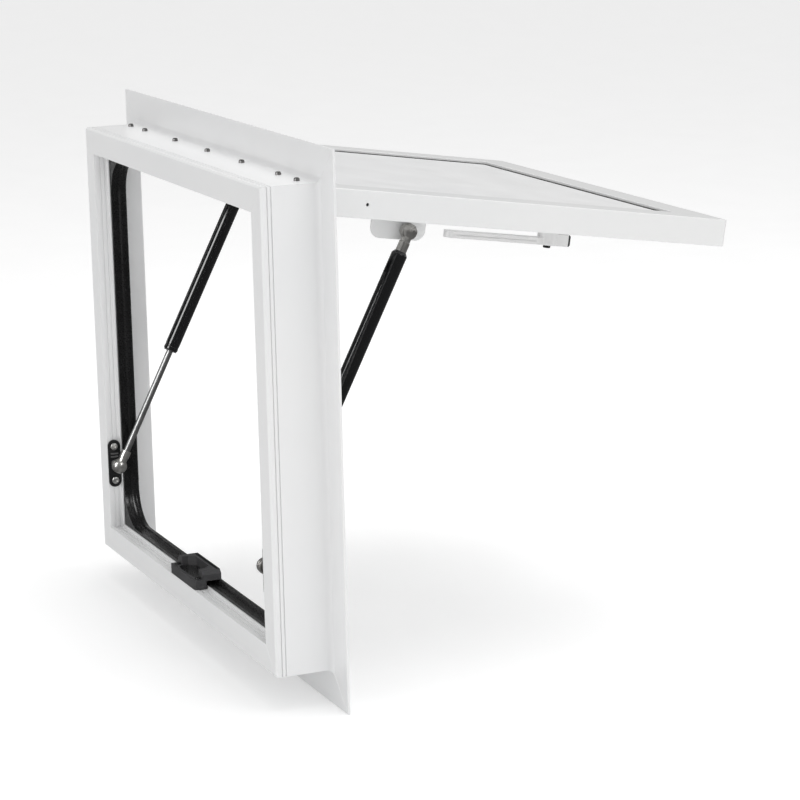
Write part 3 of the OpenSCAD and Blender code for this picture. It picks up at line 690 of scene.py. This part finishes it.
def screwTree():
    tree = newTree("screwSet", (("Seats", "Geometry"), ("Head", "Object"), ("Seed", "Int"),
                                ("Finish", "Material")))
    nodes = tree.nodes
    start, end = nodes.new("NodeGroupInput"), nodes.new("NodeGroupOutput")
    head = nodes.new("GeometryNodeObjectInfo")
    facing, size = seatValue(nodes, "facing"), seatValue(nodes, "size")
    aim = nodes.new("FunctionNodeAlignRotationToVector")
    aim.axis = "Z"
    spin = nodes.new("FunctionNodeRandomValue")
    spin.data_type = "FLOAT"
    spin.inputs[3].default_value = math.tau
    spinBy = nodes.new("FunctionNodeAxisAngleToRotation")
    spinBy.inputs["Axis"].default_value = (0, 0, 1)
    turned = nodes.new("FunctionNodeRotateRotation")
    turned.rotation_space = "LOCAL"
    onSeats = nodes.new("GeometryNodeInstanceOnPoints")
    realize = nodes.new("GeometryNodeRealizeInstances")
    paint = nodes.new("GeometryNodeSetMaterial")
    link(tree, start.outputs["Seats"], onSeats.inputs["Points"])
    link(tree, start.outputs["Head"], head.inputs["Object"])
    link(tree, head.outputs["Geometry"], onSeats.inputs["Instance"])
    link(tree, facing.outputs["Attribute"], aim.inputs["Vector"])
    link(tree, start.outputs["Seed"], spin.inputs["Seed"])
    link(tree, spin.outputs[1], spinBy.inputs["Angle"])
    link(tree, aim.outputs["Rotation"], turned.inputs["Rotation"])
    link(tree, spinBy.outputs["Rotation"], turned.inputs["Rotate By"])
    link(tree, turned.outputs["Rotation"], onSeats.inputs["Rotation"])
    link(tree, size.outputs["Attribute"], onSeats.inputs["Scale"])
    link(tree, onSeats.outputs["Instances"], realize.inputs["Geometry"])
    link(tree, realize.outputs["Geometry"], paint.inputs["Geometry"])
    link(tree, start.outputs["Finish"], paint.inputs["Material"])
    link(tree, paint.outputs["Geometry"], end.inputs["Geometry"])
    return tree


screwSizes = {"shank": 0.6, "shankLength": 1.0, "crown": 0.55, "recess": 0.56, "recessFoot": 0.308,
              "recessWide": 0.17, "recessDeep": 0.55, "over": 1.2}


def screwHead():  # a pan head of radius 1 and height 1 with a cross recess, on a short shank
    s = screwSizes
    dome = arc(1 - s["crown"], 1 - s["crown"], s["crown"], 0, 90, 6)
    shank, length = s["shank"], s["shankLength"]
    outline = [(0, -length), (shank, -length), (shank, 0), (1, 0), *dome, (0, 1)]
    head = latheObject("screwHead", outline, Matrix.Identity(4), 40)
    foot, mouth, floor = s["recessFoot"], s["recess"], 1 - s["recessDeep"]
    for turn in (0, math.pi / 2):
        cross = bmesh.new()
        addPrism(cross, [(-foot, floor), (foot, floor), (mouth, s["over"]), (-mouth, s["over"])],
                 -s["recessWide"] / 2, s["recessWide"] / 2, "Y")
        bmesh.ops.rotate(cross, verts=cross.verts, matrix=Matrix.Rotation(turn, 3, "Z"))
        combine(head, objectFrom(cross, "cross"))
    return head


screwKinds = screwTree()
screwShape = screwHead()


# The seats are (place, facing, head radius, head height)
def screwSet(name, seats, body, nodes, turn=Matrix.Identity(4), look="zincSteel", seed=3):
    mesh = bpy.data.meshes.new(name)
    mesh.from_pydata([tuple(seat[0]) for seat in seats], [], [])
    facing = mesh.attributes.new("facing", "FLOAT_VECTOR", "POINT")
    size = mesh.attributes.new("size", "FLOAT_VECTOR", "POINT")
    for i, (place, way, radius, height) in enumerate(seats):
        facing.data[i].vector = way
        size.data[i].vector = (radius, radius, height)
    made = newObject(name, mesh)
    modifier = made.modifiers.new("screwSet", "NODES")
    modifier.node_group = screwKinds
    setInputs(modifier, screwKinds, {"Head": screwShape, "Seed": seed, "Finish": finish[look]})
    applyModifiers(made)
    for attribute in ("facing", "size"):
        if attribute in made.data.attributes:
            made.data.attributes.remove(made.data.attributes[attribute])
    finishPiece(made, body, finish[look], nodes, turn)


headHeights = {"keeper": 1.8, "tab": 1.1, "handle": 1.2}
hingeSeats, frameSeats, keeperSeats, sashSeats = [], [], [], []
hingeScrews = [f"hinge_screw_{i}" for i in range(1, 8)]
for node in hingeScrews:
    low, high = corners(node)
    middle = (low + high) / 2
    hingeSeats.append(((middle.x, middle.y, barrelZ), (0, 0, 1), (high.x - low.x) / 2, high.z - barrelZ))
for side, way in (("left", 1), ("right", -1)):
    low, high = corners(side + "_jamb_screws")
    plateLow, plateHigh = corners(side + "_jamb_plate")
    seat = plateLow.x if way < 0 else plateHigh.x
    tip = low.x if way < 0 else high.x
    radius = (high.y - low.y) / 2
    for z in (low.z + radius, high.z - radius):
        frameSeats.append(((seat, (low.y + high.y) / 2, z), (way, 0, 0), radius, abs(tip - seat)))
low, high = corners("keeper_screws")
radius, height = (high.y - low.y) / 2, headHeights["keeper"]
for x in (low.x + radius, high.x - radius):
    keeperSeats.append(((x, (low.y + high.y) / 2, high.z - height), (0, 0, 1), radius, height))
screwSet("hingeScrews", hingeSeats, "frame", hingeScrews, look="dullSteel", seed=4)
screwSet("frameScrews", frameSeats, "frame", ["left_jamb_screws", "right_jamb_screws"])
screwSet("keeperScrews", keeperSeats, "frame", ["keeper_screws"], look="bracketBlack", seed=5)

for side in ("left", "right"):
    low, high = corners(side + "_tab_screws", shutTurn)
    radius, height = (high.x - low.x) / 2, headHeights["tab"]
    for z in (low.z + radius, high.z - radius):
        sashSeats.append((((low.x + high.x) / 2, low.y + height, z), (0, -1, 0), radius, height))
low, high = corners("handle_base_screws", shutTurn)
radius, height = (high.z - low.z) / 2, headHeights["handle"]
for x in (low.x + radius, high.x - radius):
    sashSeats.append(((x, low.y + height, (low.z + high.z) / 2), (0, -1, 0), radius, height))
sashScrews = ["left_tab_screws", "right_tab_screws", "handle_base_screws"]
screwSet("sashScrews", sashSeats, "sash", sashScrews, openTurn, seed=8)
bpy.data.objects.remove(screwShape)
print("screws placed:", len(hingeSeats) + len(frameSeats) + len(keeperSeats) + len(sashSeats))


# Jamb plates, under the lower ball studs

plateSizes = {"edge": 0.5, "ribsUp": (9, 13), "ribLong": 10, "ribWide": 1.8, "ribRound": 0.7, "ribHigh": 0.8,
              "ribRoot": 0.3}
for side in ("left", "right"):
    s, (low, high) = plateSizes, corners(side + "_jamb_plate")
    middle = (low + high) / 2
    halfWide, halfLong = (high.y - low.y) / 2, (high.z - low.z) / 2
    outline = boxOutline(halfWide, halfLong, halfWide - s["edge"], (middle.y, middle.z))
    plate = soften(prismObject(side + "JambPlate", outline, low.x, high.x, "X"), s["edge"])
    finishPiece(plate, "frame", finish["bracketBlack"], [side + "_jamb_plate"])

    face, away = (low.x, -1) if side == "right" else (high.x, 1)
    root, tip = sorted((face - away * s["ribRoot"], face + away * s["ribHigh"]))
    bm = bmesh.new()
    for up in s["ribsUp"]:
        addPrism(bm, boxOutline(s["ribLong"] / 2, s["ribWide"] / 2, s["ribRound"], (middle.y, middle.z + up)),
                 root, tip, "X")
    # The ribs take the lighter grey, a painted highlight.
    finishPiece(objectFrom(bm, side + "JambRibs"), "frame", finish["ribHighlightNylon"])


# Sash tabs: a folded bracket for each upper ball stud

tabSizes = {"thick": 2.5, "round": 12, "footRound": 3, "overlap": 0.01, "edge": 0.45}
for side in ("left", "right"):
    low, high = corners(side + "_sash_tab", shutTurn)
    thick, tabRound, footRound = tabSizes["thick"], tabSizes["round"], tabSizes["footRound"]
    outline = [(high.y, low.z), (high.y, high.z), (low.y, high.z, tabRound), (low.y, low.z, tabRound)]
    tabLow = low.x if side == "right" else high.x - thick
    tab = prismObject(side + "SashTab", roundOutline(outline, steps=12), tabLow, tabLow + thick, "X")
    if side == "right":
        fold, tip = low.x + tabSizes["overlap"], high.x
    else:
        fold, tip = high.x - tabSizes["overlap"], low.x
    outline = [(fold, low.z), (tip, low.z, footRound), (tip, high.z, footRound), (fold, high.z)]
    foot = prismObject("foot", roundOutline(outline, steps=6), high.y - thick, high.y, "Y")
    combine(tab, foot, "UNION")
    soften(tab, tabSizes["edge"])
    # The tab takes the sash's darker white, which is painted shade.
    finishPiece(tab, "sash", finish["sashWhiteShaded"], [side + "_sash_tab"], openTurn)
print("brackets made")


# Gas struts, built up Z from the lower ball and leaned into place

strutSizes = {
    "tube": 9, "bore": 7.7, "tubeLong": 212, "taper": 8, "crimp": 0.35, "crimpRuns": (4, 4.8, 6.2, 7),
    "capLong": 3.5, "cap": 6.4, "capBore": 6.3, "neckTop": 19, "neckSunk": 7.5,
    "gland": 8.2, "glandStep": 1.5, "glandLong": 10, "inside": 7.6, "gap": 0.05,
    "rod": 4, "rodInside": 64.15, "rodSunk": 6, "pistonLong": 12, "ferrule": 22,
}
socketSizes = {
    "radius": 9, "half": 7, "dome": 6, "bore": 5.2, "lip": 1.5, "grooveLow": 1.2, "grooveHigh": 2.6,
    "grooveDeep": 0.7, "clipLow": 1.4, "clipHigh": 2.4, "clipIn": 0.9, "clipOut": 0.2, "neck": 5.5,
    "neckFrom": 6.6, "collarFrom": 12, "collar": 0.7, "collarSlope": 0.6,
}


# A ball cup with its mouth towards +X, a neck up +Z and a spring clip in a groove round the cup
def ballSocket(name, neckLong, turn):
    s = socketSizes
    r, half, dome, bore = s["radius"], s["half"], s["dome"], s["bore"]
    back = [(r * math.sin(math.radians(a)), dome - half - dome * math.cos(math.radians(a)))
            for a in range(10, 91, 10)]
    groove = [(r, s["grooveLow"], 0.2), (r - s["grooveDeep"], s["grooveLow"], 0.1),
              (r - s["grooveDeep"], s["grooveHigh"], 0.1), (r, s["grooveHigh"], 0.2)]
    mouth = [(r, half - 1, 0.5), (r - s["lip"], half, 0.5), (bore, half, 0.4), (bore, 0)]
    outside = roundOutline([(0, -half), *back, *groove, *mouth], closed=False, steps=5)
    inside = arc(0, 0, bore, -6, -84, 13) + [(0, -bore)]
    clipIn, clipOut = r - s["clipIn"], r + s["clipOut"]
    clip = roundOutline([(clipIn, s["clipLow"], 0.3), (clipOut, s["clipLow"], 0.4),
                         (clipOut, s["clipHigh"], 0.4), (clipIn, s["clipHigh"], 0.3)], steps=3)
    neck, collar, slopeTop = s["neck"], s["neck"] + s["collar"], s["collarFrom"] + s["collarSlope"]
    stem = roundOutline([
        (0, s["neckFrom"]), (neck, s["neckFrom"], 0.3), (neck, s["collarFrom"], 0.2), (collar, slopeTop, 0.2),
        (collar, neckLong, 0.4), (0, neckLong)], closed=False, steps=3)
    bm = bmesh.new()
    toMouth = turn @ Matrix.Rotation(math.pi / 2, 4, "Y")
    addLathe(bm, outside + inside, toMouth, 56)
    addRings(bm, [ringAt(radius, height, toMouth, 56) for radius, height in clip], joined=True)
    addLathe(bm, stem, turn, 40)
    return objectFrom(bm, name)


for side in ("left", "right"):
    s = strutSizes
    upper = Vector(joints[side + "_strut_swing"]["pos_m"]) * mm
    low, high = corners(side + "_rod_ball")
    lower = Vector((upper.x, (low.y + high.y) / 2, (low.z + high.z) / 2))
    length = (upper - lower).length
    tilt = Vector((0, 0, 1)).rotation_difference((upper - lower).normalized())
    lean = Matrix.Translation(lower) @ tilt.to_matrix().to_4x4()
    top = length - s["neckTop"]
    shoulder = top - s["taper"]
    bottom = shoulder - s["tubeLong"]

    bore, outer, dent, capEnd = s["bore"], s["tube"], s["tube"] - s["crimp"], shoulder + s["capLong"]
    crimp = [bottom + run for run in s["crimpRuns"]]
    outline = roundOutline([
        (bore, bottom + 8), (bore, bottom + 0.6, 0.2), (outer - 0.5, bottom, 0.3), (outer, bottom + 0.9, 0.6),
        (outer, crimp[0], 0.3), (dent, crimp[1], 0.4), (dent, crimp[2], 0.4), (outer, crimp[3], 0.3),
        (outer, shoulder, 1.2), (s["cap"], capEnd, 0.5), (s["capBore"], capEnd + 0.001),
        (s["capBore"], top - 5), (bore, top - 12)], closed=False, steps=4)
    tube = latheObject(side + "StrutTube", outline + outline[:1], lean, 64)
    finishPiece(tube, side + "_tube", finish["tubeBlack"], [side + "_strut_tube"])

    hole, front, back = s["rod"] + s["gap"], bottom - s["glandStep"], bottom + s["glandLong"]
    outline = roundOutline([
        (hole, back), (hole, front, 0.4), (s["gland"], front, 0.5), (s["gland"], bottom - 0.1, 0.1),
        (s["inside"], bottom - 0.05), (s["inside"], back)], closed=False, steps=4)
    gland = latheObject(side + "TubeGland", outline + outline[:1], lean, 56)
    finishPiece(gland, side + "_tube", finish["greyNylon"], [side + "_tube_gland"])

    flip = Matrix.Rotation(math.pi, 4, "Y" if side == "right" else "X")
    socket = ballSocket(side + "TubeSocket", s["neckTop"] + s["neckSunk"],
                        lean @ Matrix.Translation((0, 0, length)) @ flip)
    finishPiece(socket, side + "_tube", finish["socketSteel"], [side + "_tube_socket"])

    rodFoot, rodEnd = s["ferrule"] - s["rodSunk"], bottom + s["rodInside"]
    piston = rodEnd - s["pistonLong"]
    outline = roundOutline([
        (0, rodFoot), (s["rod"], rodFoot, 0.3), (s["rod"], piston, 0.1), (s["inside"], piston, 0.3),
        (s["inside"], rodEnd, 0.5), (0, rodEnd)], closed=False)
    rod = latheObject(side + "StrutRod", outline, lean, 56)
    finishPiece(rod, side + "_rod", finish["chromeRod"], [side + "_strut_rod"])

    spin = Matrix.Rotation(0 if side == "right" else math.pi, 4, "Z")
    socket = ballSocket(side + "RodSocket", s["ferrule"] - 0.5, lean @ spin)
    finishPiece(socket, side + "_rod", finish["socketSteel"], [side + "_rod_socket"])
print("struts made")


# Keeper on the sill, with a pocket for the locking cam

keeperSizes = {
    "floorToStep": 11.5, "under": 9.3, "baseBack": 16, "baseRound": 3, "bodyFront": 10, "shoulder": 5,
    "drop": 4, "pocketHalf": 30, "pocketCut": 8, "pocketDrop": 1.7, "pocketBack": 7.7, "rim": 4,
    "stepCut": 0.15, "over": 5, "shadeSheetThick": 0.9, "shadeSheetGap": 0.5, "shadeSheetEdge": 0.25, "grooveEnd": 5,
    "grooveWide": 3.4, "grooveBack": 2.9, "grooveDeep": 4, "edge": 0.5,
}
s, (low, high) = keeperSizes, corners("keeper")
halfLong, under, dropped = high.x, low.z + s["under"], high.z - s["drop"]
step, over = low.z + s["floorToStep"], high.z + s["over"]
outline = roundOutline([
    (-halfLong, under), (halfLong, under), (halfLong, dropped, 1), (halfLong - s["shoulder"], high.z, 1),
    (-halfLong + s["shoulder"], high.z, 1), (-halfLong, dropped, 1)], steps=3)
keeper = prismObject("keeperBlock", outline, low.y + s["bodyFront"], high.y, "Y")
outline = boxOutline(halfLong - 0.01, s["baseBack"] / 2, s["baseRound"], (0, low.y + s["baseBack"] / 2))
combine(keeper, prismObject("base", outline, low.z, step, "Z"), "UNION")

pocketX, cut, pocketFloor = s["pocketHalf"], s["pocketCut"], step - s["pocketDrop"]
pocketBack, pocketFront = high.y - s["pocketBack"], low.y + s["rim"]
backEdge = [(pocketX, pocketBack - cut), (pocketX - cut, pocketBack),
            (-pocketX + cut, pocketBack), (-pocketX, pocketBack - cut)]
frontEdge = [(-pocketX, pocketFront + cut / 2), (-pocketX + cut, pocketFront),
             (pocketX - cut, pocketFront), (pocketX, pocketFront + cut / 2)]
outline = [(-pocketX, low.y - s["over"]), (pocketX, low.y - s["over"]), *backEdge]
combine(keeper, prismObject("pocketOpen", outline, step - s["stepCut"], over, "Z"))
combine(keeper, prismObject("pocket", frontEdge + backEdge, pocketFloor, over, "Z"))
outline = boxOutline(halfLong - s["grooveEnd"], s["grooveWide"] / 2, 0, (0, high.y - s["grooveBack"]))
combine(keeper, prismObject("groove", outline, high.z - s["grooveDeep"], over, "Z"))
soften(keeper, s["edge"])
finishPiece(keeper, "frame", finish["greyNylon"], ["keeper"])
# A thin dark rubber sheet on the pocket floor, darker than the keeper, paints the shade in the pocket:
# painted shade.
outline = shrunk(frontEdge + backEdge, s["shadeSheetGap"])
shadeSheet = prismObject("keeperPad", outline, pocketFloor - 0.1, pocketFloor + s["shadeSheetThick"], "Z")
finishPiece(soften(shadeSheet, s["shadeSheetEdge"]), "frame", finish["sealRubber"])
print("keeper made")


# Handle base on the sash, and the handle that turns on it

handleSizes = {
    "baseThick": 5, "baseRound": 8, "baseEdge": 1.2, "boss": 9, "hub": 13, "bar": 8.5, "barWide": 17,
    "grooveWide": 1.3, "grooveDeep": 0.9, "grooveRise": 0.42, "grooveBelow": 19, "grooveAbove": 9,
    "edge": 0.9, "tipEdge": 0.4, "tipCut": 1.5, "tipNose": 2, "knob": 4.6, "knobHigh": 4, "knobStem": 2.5,
    "gap": 0.05,
}
s, (low, high) = handleSizes, corners("handle_base", shutTurn)
spindleLow, spindleHigh = corners("handle_spindle", shutTurn)
spindleZ = (spindleLow.z + spindleHigh.z) / 2
toSpindle = Matrix.Translation((0, 0, spindleZ)) @ Matrix.Rotation(math.pi / 2, 4, "X")
outline = boxOutline(high.x, (high.z - low.z) / 2, s["baseRound"], (0, (high.z + low.z) / 2))
base = soften(prismObject("handleBase", outline, high.y - s["baseThick"], high.y, "Y"), s["baseEdge"])
hole, bossFoot = (spindleHigh.z - spindleLow.z) / 2 + s["gap"], s["baseThick"] - high.y - 0.5
outline = roundOutline([(hole, bossFoot), (s["boss"], bossFoot), (s["boss"], -low.y, 0.8),
                        (hole, -low.y, 0.2)], closed=False)
bm = meshFrom(base)
addLathe(bm, outline + outline[:1], toSpindle)
fillMesh(base.data, bm)
finishPiece(base, "sash", finish["whiteNylon"], ["handle_base"], openTurn)

low, high = corners("handle_lever", shutTurn)
tipLow, tipHigh = corners("handle_tip", shutTurn)
half, front, top = s["barWide"] / 2, low.y, high.z
outline = roundOutline([
    (-half, spindleZ), (half, spindleZ), (half, top, half * 0.998), (-half, top, half * 0.998)], steps=10)
lever = prismObject("handleLever", outline, front, front + s["bar"], "Y")
grooveFront = front + s["bar"] * s["grooveRise"]
grooveLow, grooveHigh = spindleZ + s["grooveBelow"], top - s["grooveAbove"]
for way in (-1, 1):
    inner, outer = way * (half - s["grooveDeep"]), way * (half - s["grooveDeep"] + 3)
    outline = [(inner, grooveLow), (outer, grooveLow), (outer, grooveHigh), (inner, grooveHigh)]
    combine(lever, prismObject("groove", outline, grooveFront, grooveFront + s["grooveWide"], "Y"))
outline = [(0, -high.y), (s["hub"], -high.y), (s["hub"], -front), (0, -front)]
combine(lever, latheObject("hub", outline, toSpindle, 64), "UNION")
outline = boxOutline(tipHigh.x, (spindleZ - tipHigh.z) / 2, 0, (0, (spindleZ + tipHigh.z) / 2))
combine(lever, prismObject("block", outline, front + 0.01, tipHigh.y, "Y"), "UNION")
soften(lever, s["edge"])
finishPiece(lever, "handle", finish["whiteNylon"], ["handle_lever"], openTurn)

cut, nose = s["tipCut"], s["tipNose"]
outline = [(front, tipHigh.z), (tipHigh.y, tipHigh.z), (tipHigh.y, tipLow.z + cut),
           (tipHigh.y - cut, tipLow.z), (front + nose, tipLow.z), (front, tipLow.z + nose)]
tip = soften(prismObject("handleTip", outline, tipLow.x, tipHigh.x, "X"), s["tipEdge"])
finishPiece(tip, "handle", finish["greyNylon"], ["handle_tip"], openTurn)

stem, stemFoot, under, crown = s["knobStem"], -front - 5, s["gap"] - front, s["knobHigh"] - front
outline = roundOutline([(0, stemFoot), (stem, stemFoot), (stem, under), (s["knob"], under, 0.3),
                        (s["knob"], crown, 1.2), (0, crown)], closed=False)
knob = latheObject("handleKnob", outline, toSpindle, 40)
finishPiece(knob, "handle", finish["tubeBlack"], ["handle_screw"], openTurn)
print("handle made")


# CAD pieces that are shown as they are

shown = {
    "pane": "paneSheet", "hinge_frame_leaf": "hingeAluminium", "hinge_sash_leaf": "hingeAluminium",
    "hinge_pin": "chromeRod", "handle_spindle": "zincSteel", "handle_cam": "zincSteel",
}
for name, node in frame["nodes"].items():
    if node.hide_render:
        continue
    look = shown.get(name)
    if look is None:
        look = "hingeAluminium" if name.startswith("corner_key") else "zincSteel"
    node.data.materials.clear()
    node.data.materials.append(finish[look])
    print("shown as it is:", name)


# Floor, light and camera

floorSizes = {"half": 40000, "thick": 19.5, "below": 0.5}
floorTop = cadBounds[0].z * mm - floorSizes["below"]
floorOutline = boxOutline(floorSizes["half"], floorSizes["half"])
floor = prismObject("floor", floorOutline, floorTop - floorSizes["thick"], floorTop, "Z")
floor.data.transform(Matrix.Scale(1 / mm, 4))
floorLook = surface("floorPale", dict(colours=((0.93, 0.93, 0.93), (0.95, 0.95, 0.95)), rough=(0.7, 0.8),
                                      bump=0, specular=0.1, glow=0.17))
floor.data.materials.append(floorLook)
floor.visible_glossy = False  # keeps the dark and bright metal parts from mirroring a white floor

world = bpy.data.worlds.new("studio")
scene.world = world
world.use_nodes = True
worldTree = world.node_tree
seen = worldTree.nodes.new("ShaderNodeLightPath")
mirrored = worldTree.nodes.new("ShaderNodeMapRange")  # even light, but dim where it would be mirrored
mirrored.inputs["To Min"].default_value, mirrored.inputs["To Max"].default_value = 0.75, 0.20
link(worldTree, seen.outputs["Is Glossy Ray"], mirrored.inputs["Value"])
link(worldTree, mirrored.outputs["Result"], worldTree.nodes["Background"].inputs["Strength"])
worldTree.nodes["Background"].inputs["Color"].default_value = (1, 1, 1, 1)

lampSizes = {
    "above": dict(place=(0.3, 0.6, 3.0), width=2.2, height=2.2, power=44, mirrored=False),
    "right": dict(place=(3.2, 1.3, 1.2), width=1.8, height=1.8, power=5, mirrored=False),
    "left": dict(place=(-2.4, -3.0, 1.0), width=1.8, height=1.8, power=6, mirrored=False),
    "softboxLeft": dict(place=(0.85, -2.85, 1.5), width=1.3, height=2.6, power=130, mirrored=True),
    "softboxRight": dict(place=(3.2, 1.2, 1.9), width=0.4, height=1.6, power=45, mirrored=True),
}
for name, lamp in lampSizes.items():
    light = bpy.data.lights.new(name, "AREA")
    light.shape, light.energy = "RECTANGLE", lamp["power"]
    light.size, light.size_y = lamp["width"], lamp["height"]
    holder = newObject(name, light)
    holder.location = lamp["place"]
    holder.rotation_euler = (Vector((0, 0.1, 0)) - Vector(lamp["place"])).to_track_quat("-Z", "Y").to_euler()
    holder.visible_glossy, holder.visible_diffuse = lamp["mirrored"], not lamp["mirrored"]

view = {"azimuth": 66.90, "elevation": 12.45, "roll": -1.32, "away": 3.31432, "right": 0.20253,
        "up": -0.02538, "lens": 126.48}
a, e = math.radians(view["azimuth"]), math.radians(view["elevation"])
back = Vector((math.sin(a) * math.cos(e), -math.cos(a) * math.cos(e), math.sin(e)))
straight = (-back).to_track_quat("-Z", "Y")
aimed = straight @ Quaternion((0, 0, 1), math.radians(view["roll"]))
cameraData = bpy.data.cameras.new("camera")
cameraData.lens, cameraData.sensor_width = view["lens"], 36
camera = newObject("camera", cameraData)
camera.rotation_mode = "QUATERNION"
camera.rotation_quaternion = aimed
camera.location = back * view["away"] + aimed @ Vector((view["right"], view["up"], 0))
scene.camera = camera
scene.view_settings.view_transform = "Standard"
